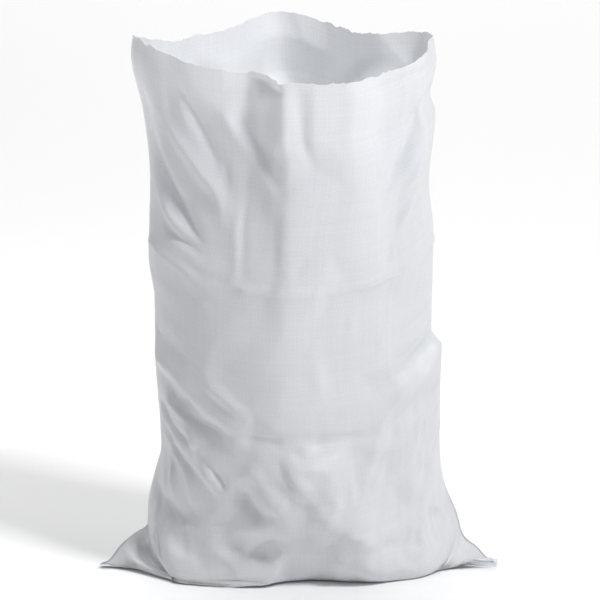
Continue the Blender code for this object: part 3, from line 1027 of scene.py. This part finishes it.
@dataclass
class BottomHem:
    """The tube's end, pressed flat, turned up once over the front and sewn through.

    Its fold stands on the floor at the ears. Between them the hem lies flat under the sack.
    """

    seam: np.ndarray
    # The raw edge stands off and ends lower by up to these, in waves that drift along it
    loose_edge: float = 0.0012
    uneven_edge: float = 0.0006
    waves: float = 9.0
    wave_drift: float = 3.0
    drift_rate: float = 5.0
    # The stitches press the hem to this share of its thickness, over this far to each side
    pressed_share: float = 0.8
    pressed_reach: float = 0.003
    # The fold's round, as the place of its middle corners in shares of half the hem's thickness
    fold_round: float = 0.3
    # The sine of the steepest that the hem stands at the ears
    most_lean: float = 0.98
    # How much cloth each side of the section takes on the UV map
    flat_side: float = 0.0024
    # Its edges look sharp where they turn by more than this
    sharp_from: float = math.radians(50)

    def frames(self) -> tuple[np.ndarray, np.ndarray, np.ndarray]:
        """The seam's points, with the directions up the hem and out of its face at each.

        Returns:
            Points, directions from the fold to the raw edge, and directions away from the panel.
        """
        lean = np.clip((self.seam[:, 2] - SEAM_REST_HEIGHT) / HEM_BELOW_SEAM, 0.0, self.most_lean)
        upright = np.arcsin(lean)
        zero = np.zeros(len(self.seam))
        up = np.stack([zero, -np.cos(upright), np.sin(upright)], axis=1)
        out = np.stack([zero, -np.sin(upright), -np.cos(upright)], axis=1)
        return self.seam, up, out

    def profile(self, place: float) -> list[Point]:
        """The hem's section, as distance up from the seam and out of the panel, going round.

        Args:
            place: Where along the seam, from 0 to 1.

        Returns:
            The section's corners.
        """
        drift = self.wave_drift * math.sin(self.drift_rate * place)
        wave = 0.5 + 0.5 * math.sin(2 * math.pi * self.waves * place + drift)
        lift = self.loose_edge * wave
        above = HEM_ABOVE_SEAM - self.uneven_edge * wave
        full, half, fold, near = HEM_THICKNESS, HEM_THICKNESS / 2, -HEM_BELOW_SEAM, self.pressed_reach
        inner, outer = self.fold_round * half, (2 - self.fold_round) * half
        return [
            (fold + half, 0.0), (fold + inner, inner), (fold, half), (fold + inner, outer),
            (fold + half, full), (-near, full), (0.0, self.pressed_share * full), (near, full),
            (above, full + lift), (above, half + lift), (near, half), (0.0, 0.0),
        ]

    def build(self, finish: bpy.types.Material) -> bpy.types.Object:
        """Makes the hem.

        Args:
            finish: The cloth's material.

        Returns:
            The object.
        """
        points, ups, outs = self.frames()
        mesh = bmesh.new()
        flat = mesh.loops.layers.uv.new(FLAT_CLOTH)
        loops = []
        for i, (point, up, out) in enumerate(zip(points, ups, outs)):
            corners = self.profile(i / (len(points) - 1))
            loops.append([mesh.verts.new(point + up * a + out * b) for a, b in corners])
        count = len(loops[0])
        for i, (left, right) in enumerate(zip(loops, loops[1:])):
            for k in range(count):
                face = mesh.faces.new((left[k], right[k], right[(k + 1) % count], left[(k + 1) % count]))
                for corner, (step, part) in zip(face.loops, ((0, k), (1, k), (1, k + 1), (0, k + 1))):
                    across = (i + step) / (len(loops) - 1) / 2
                    corner[flat].uv = (across, part * self.flat_side / (2 * PANEL_WIDTH))
        mesh.faces.new(loops[0])
        mesh.faces.new(loops[-1][::-1])
        bmesh.ops.recalc_face_normals(mesh, faces=mesh.faces)
        data = bpy.data.meshes.new("bottom_hem")
        mesh.to_mesh(data)
        mesh.free()
        data.shade_smooth()
        data.set_sharp_from_angle(angle=self.sharp_from)
        data.materials.append(finish)
        return add_object("bottom_hem", data)


@dataclass
class ChainStitch:
    """One thread sewn through the hem: a row of dashes on its face, and a row of loops behind it."""

    hem: BottomHem
    stitch: float = 0.007
    thread_radius: float = 0.00045
    # The dashes and the loops arch by these numbers of thread radii, from so many radii inside the hem
    face_arch: float = 1.6
    face_sunk: float = 0.9
    back_arch: float = 1.4
    back_sunk: float = 0.6
    # The loops swing this far to each side of their own line, which lies a little below the seam
    loop_width: float = 0.0011
    loop_drop: float = 0.0006
    points_per_stitch: int = 8
    end_margin: float = 0.004

    def run(self, up_shift: np.ndarray, out_shift: np.ndarray, along: np.ndarray) -> np.ndarray:
        """A thread's path, carried along the hem.

        Args:
            up_shift: How far each of its points lies up from the seam.
            out_shift: How far each lies out from the panel.
            along: How far along the seam each lies.

        Returns:
            The path's points.
        """
        seam_runs = lengths_along(self.hem.seam)
        points, ups, outs = (read_line(rows, seam_runs, along) for rows in self.hem.frames())
        return points + ups * up_shift[:, None] + outs * out_shift[:, None]

    def build(self, finish: bpy.types.Material) -> bpy.types.Object:
        """Makes the stitching.

        Args:
            finish: The thread's material.

        Returns:
            The object.
        """
        length = lengths_along(self.hem.seam)[-1] - 2 * self.end_margin
        count = int(length / self.stitch)
        steps = np.arange(count * self.points_per_stitch + 1) / self.points_per_stitch
        along = self.end_margin + steps * self.stitch
        arch = np.sqrt(np.abs(np.sin(math.pi * steps)))
        pressed = self.hem.pressed_share * HEM_THICKNESS
        face = pressed + self.thread_radius * (self.face_arch * arch - self.face_sunk)
        behind = -self.thread_radius * (self.back_arch * arch - self.back_sunk)
        swing = self.loop_width * np.sin(math.pi * steps)
        curve = bpy.data.curves.new("bottom_stitching", "CURVE")
        curve.dimensions = "3D"
        curve.bevel_depth = self.thread_radius
        curve.bevel_resolution = 1
        curve.use_fill_caps = True
        for up_shift, out_shift in (
            (np.zeros(len(steps)), face), (swing - self.loop_drop, behind), (-swing - self.loop_drop, behind)
        ):
            path = self.run(up_shift, out_shift, along)
            spline = curve.splines.new("POLY")
            spline.points.add(len(path) - 1)
            spline.points.foreach_set("co", np.column_stack([path, np.ones(len(path))]).ravel())
        curve.materials.append(finish)
        return add_object("bottom_stitching", curve)


def new_material(name: str) -> tuple[bpy.types.Material, bpy.types.Node]:
    """Makes a material with nodes.

    Args:
        name: The material's name.

    Returns:
        The material and its shader.
    """
    material = bpy.data.materials.new(name)
    material.use_nodes = True
    return material, material.node_tree.nodes["Principled BSDF"]


def set_inputs(tree: bpy.types.NodeTree, node: bpy.types.Node, inputs: dict[str | int, Any]) -> None:
    """Sets or links some inputs of a node.

    Args:
        tree: The node's tree.
        node: The node.
        inputs: For each input, by name or number, a value, an output, or a node that gives its first output.
    """
    for socket, value in inputs.items():
        if isinstance(value, bpy.types.Node):
            value = value.outputs[0]
        if isinstance(value, bpy.types.NodeSocket):
            tree.links.new(value, node.inputs[socket])
        else:
            node.inputs[socket].default_value = value


def add_node(
    tree: bpy.types.NodeTree, kind: str, inputs: dict[str | int, Any] | None = None, **settings: Any
) -> bpy.types.Node:
    """Adds one shader node, sets it and links it.

    Args:
        tree: The material's node tree.
        kind: The node's type, as it goes on after ShaderNode.
        inputs: What set_inputs takes.
        settings: The node's own settings.

    Returns:
        The node.
    """
    node = tree.nodes.new("ShaderNode" + kind)
    for name, value in settings.items():
        setattr(node, name, value)
    set_inputs(tree, node, inputs or {})
    return node


@dataclass(frozen=True)
class WovenPolypropylene:
    """Woven polypropylene tape: stretched film slit into flat tapes and woven one over one.

    The eye sees a satin white with a fine plaid: each tape has its own whiteness and gloss, and painted
    shade darkens the gaps between tapes.
    """

    name: str = "woven polypropylene tape"
    colour: str = "E9ECF2"
    shaded: str = "E5E8EE"
    # Painted shade: the gap beside a tape is painted this darker colour, where shade falls between the tapes
    gap: str = "CDD1D8"
    painted_gap_shade_height: float = 0.30
    ior: float = 1.49
    roughness: float = 0.42
    # The whitest tapes are this much glossier than the mean, and the dullest ones as much rougher
    gloss_spread: float = 0.06
    # The thin film lets light through, so the sack's inside is bright
    translucency: float = 0.8
    light_travel: float = 0.002
    # A real tape is 2.5 to 3 mm wide
    tape_width: float = 0.003
    tape_height: float = 0.00018
    bump_strength: float = 0.6
    # The tapes across the sack draw their tones from numbers that the ones up it don't reach
    weft_numbers_from: float = 977.0

    def make(self) -> bpy.types.Material:
        """Makes the material.

        Returns:
            The material.
        """
        material, shader = new_material(self.name)
        tree = material.node_tree
        place = add_node(tree, "UVMap", uv_map=FLAT_CLOTH)
        count = 2 * PANEL_WIDTH / self.tape_width
        tapes = add_node(tree, "VectorMath", {0: place, 1: (count, count, 0.0)}, operation="MULTIPLY")
        tape = add_node(tree, "VectorMath", {0: tapes}, operation="FLOOR")
        within = add_node(tree, "VectorMath", {0: tapes, 1: tape}, operation="SUBTRACT")
        number = add_node(tree, "SeparateXYZ", {0: tape})
        part = add_node(tree, "SeparateXYZ", {0: within})
        # Warp and weft take turns on top, as on a chessboard
        total = add_node(tree, "Math", {0: number.outputs[0], 1: number.outputs[1]}, operation="ADD")
        on_top = add_node(tree, "Math", {0: total, 1: 2.0}, operation="FLOORED_MODULO")
        crowns = {2: self.crown(tree, part.outputs[0]), 3: self.crown(tree, part.outputs[1])}
        height = add_node(tree, "Mix", {0: on_top, **crowns})
        warp_tone = add_node(tree, "TexWhiteNoise", {"W": number.outputs[0]}, noise_dimensions="1D")
        weft = add_node(tree, "Math", {0: number.outputs[1], 1: self.weft_numbers_from}, operation="ADD")
        weft_tone = add_node(tree, "TexWhiteNoise", {"W": weft}, noise_dimensions="1D")
        tone = add_node(tree, "Mix", {0: on_top, 2: warp_tone, 3: weft_tone})
        white = add_node(tree, "ValToRGB", {0: tone})
        white.color_ramp.elements[0].color = linear_colour(self.shaded)
        white.color_ramp.elements[1].color = linear_colour(self.colour)
        # Painted shade: near a tape's edges its colour turns to the darker gap colour
        in_painted_gap_shade = add_node(tree, "MapRange", {0: height, 1: 0.0, 2: self.painted_gap_shade_height, 3: 1.0, 4: 0.0})
        colour = add_node(tree, "Mix", {0: in_painted_gap_shade, 6: white, 7: linear_colour(self.gap)}, data_type="RGBA")
        rough_ends = {3: self.roughness + self.gloss_spread, 4: self.roughness - self.gloss_spread}
        bump_inputs = {"Strength": self.bump_strength, "Distance": self.tape_height, "Height": height}
        set_inputs(tree, shader, {
            "Base Color": colour.outputs[2],
            "Roughness": add_node(tree, "MapRange", {0: tone, **rough_ends}),
            "Normal": add_node(tree, "Bump", bump_inputs),
            "IOR": self.ior,
            "Subsurface Weight": self.translucency,
            "Subsurface Radius": (1.0, 1.0, 1.0),
            "Subsurface Scale": self.light_travel,
        })
        return material

    @staticmethod
    def crown(tree: bpy.types.NodeTree, across: bpy.types.NodeSocket) -> bpy.types.Node:
        """The height across a tape, which is highest along its middle.

        Args:
            tree: The material's node tree.
            across: The place across the tape, from 0 to 1.

        Returns:
            The node that gives the height, from 0 to 1.
        """
        centred = add_node(tree, "Math", {0: across, 1: 2.0, 2: -1.0}, operation="MULTIPLY_ADD")
        square = add_node(tree, "Math", {0: centred, 1: centred}, operation="MULTIPLY")
        return add_node(tree, "Math", {0: 1.0, 1: square}, operation="SUBTRACT")


@dataclass(frozen=True)
class SewingThread:
    """Twisted polyester sewing thread.

    The eye sees a matt off-white cord with a slanting twist, whose lit strands and the shade beside them are
    painted into its colour.
    """

    name: str = "twisted polyester thread"
    colour: str = "EDEDEA"
    shaded: str = "CFCFCC"
    roughness: float = 0.7
    # Along the thread, a strand's painted light and the painted shade beside it are about 1 mm long each
    strand: float = 0.001
    # The wave pattern's light and dark bands are this long each, in metres, at a scale of 1
    band_at_scale_one: float = 0.314
    waviness: float = 0.5
    strand_height: float = 0.0001
    bump_strength: float = 0.5

    def make(self) -> bpy.types.Material:
        """Makes the material.

        Returns:
            The material.
        """
        material, shader = new_material(self.name)
        tree = material.node_tree
        place = add_node(tree, "TexCoord").outputs["Object"]
        scale = self.band_at_scale_one / self.strand
        waves = {"Vector": place, "Scale": scale, "Distortion": self.waviness}
        twist = add_node(tree, "TexWave", waves, bands_direction="DIAGONAL")
        # Painted light and painted shade: the ramp colours the twist's lit strands and the shade beside them
        colour = add_node(tree, "ValToRGB", {0: twist.outputs[0]})
        colour.color_ramp.elements[0].color = linear_colour(self.shaded)
        colour.color_ramp.elements[1].color = linear_colour(self.colour)
        bump_inputs = {"Strength": self.bump_strength, "Distance": self.strand_height, "Height": twist}
        bump = add_node(tree, "Bump", bump_inputs)
        set_inputs(tree, shader, {"Base Color": colour, "Roughness": self.roughness, "Normal": bump})
        return material


@dataclass(frozen=True)
class Lamp:
    """A soft square lamp that faces a point."""

    name: str
    place: Place
    aim: Place
    size: float
    watts: float

    def build(self) -> None:
        """Makes the lamp."""
        data = bpy.data.lights.new(self.name, "AREA")
        data.size = self.size
        data.energy = self.watts
        lamp = add_object(self.name, data)
        lamp.location = self.place
        lamp.rotation_mode = "QUATERNION"
        lamp.rotation_quaternion = (Vector(self.aim) - Vector(self.place)).to_track_quat("-Z", "Y")


@dataclass
class Studio:
    """The floor, the lights and the camera at the photograph's viewing angle."""

    pixels_per_metre: float = 670.0
    frame_pixels: int = 600
    elevation: float = math.radians(15)
    distance: float = 9.0
    aim: Place = (0.0015, 0.0, 0.4127)
    sensor: float = 36.0
    # The key stands this far round to the right of the camera
    key_turn: float = math.radians(48)
    key_elevation: float = math.radians(50)
    key_distance: float = 8.0
    key_aim: Place = (0.0, 0.0, 0.4)
    key_size: float = 1.6
    key_watts: float = 465.0
    broad_lamps: tuple[Lamp, ...] = (
        Lamp("overhead", (0.0, 2.0, 6.0), (0.0, 1.0, 0.0), size=6.0, watts=118.0),
        Lamp("behind", (0.0, 6.5, 3.5), (0.0, 2.8, 0.0), size=4.0, watts=112.0),
        Lamp("floor left of the sack", (-0.75, 0.65, 1.3), (-0.75, 0.651, 0.0), size=0.8, watts=4.5),
    )
    surround: float = 0.29
    floor_colour: str = "F0F0F0"
    floor_roughness: float = 0.9
    floor_size: float = 30.0

    def build(self) -> None:
        """Makes the camera, the floor, the lamps and the even surround."""
        self.add_camera()
        self.add_floor()
        for lamp in (self.key(), *self.broad_lamps):
            lamp.build()
        self.add_surround()

    def add_camera(self) -> None:
        """Puts the camera in front of the sack, as far off as a long lens stands."""
        data = bpy.data.cameras.new("camera")
        data.sensor_width = self.sensor
        data.lens = self.sensor * self.distance / (self.frame_pixels / self.pixels_per_metre)
        camera = add_object("camera", data)
        back = Vector((0.0, -math.cos(self.elevation), math.sin(self.elevation)))
        camera.location = Vector(self.aim) + back * self.distance
        camera.rotation_mode = "QUATERNION"
        camera.rotation_quaternion = (-back).to_track_quat("-Z", "Y")
        bpy.context.scene.camera = camera

    def add_floor(self) -> None:
        """A plain pale floor that runs out of the view."""
        bpy.ops.mesh.primitive_plane_add(size=self.floor_size)
        floor = bpy.context.object
        floor.name = "floor"
        material, shader = new_material("pale floor")
        finish = {"Base Color": linear_colour(self.floor_colour), "Roughness": self.floor_roughness}
        set_inputs(material.node_tree, shader, finish)
        floor.data.materials.append(material)

    def key(self) -> Lamp:
        """The key lamp, high up on the right.

        Returns:
            The lamp, which isn't made yet.
        """
        level = math.cos(self.key_elevation)
        ahead, right = level * math.cos(self.key_turn), level * math.sin(self.key_turn)
        way = Vector((right, -ahead, math.sin(self.key_elevation)))
        place = Vector(self.key_aim) + self.key_distance * way
        return Lamp("key", tuple(place), self.key_aim, self.key_size, self.key_watts)

    def add_surround(self) -> None:
        """Lights the scene evenly from all round, and shows tones as they are."""
        world = bpy.data.worlds.new("studio")
        world.use_nodes = True
        shine = {"Color": (1.0, 1.0, 1.0, 1.0), "Strength": self.surround}
        set_inputs(world.node_tree, world.node_tree.nodes["Background"], shine)
        bpy.context.scene.world = world
        bpy.context.scene.view_settings.view_transform = "Standard"


def main() -> None:
    """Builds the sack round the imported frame."""
    logging.basicConfig(level=logging.INFO)
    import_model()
    Studio().build()
    sack = SackCloth()
    points = sack.points()
    woven = WovenPolypropylene().make()
    cloth = sack.build(points, woven)
    LOG.info("sack_cloth: %d points", len(cloth.data.vertices))
    hem_form = BottomHem(points[0, : sack.columns + 1])
    hem = hem_form.build(woven)
    LOG.info("bottom_hem: %d points", len(hem.data.vertices))
    stitching = ChainStitch(hem_form).build(SewingThread().make())
    LOG.info("bottom_stitching: %d threads", len(stitching.data.splines))
    for piece, slot in ((cloth, "woven_cloth"), (hem, "woven_cloth"), (stitching, "sewing_thread")):
        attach(piece, "root")
    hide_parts("sack_body")
    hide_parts("bottom_seam_thread")


if __name__ == "__main__":
    main()
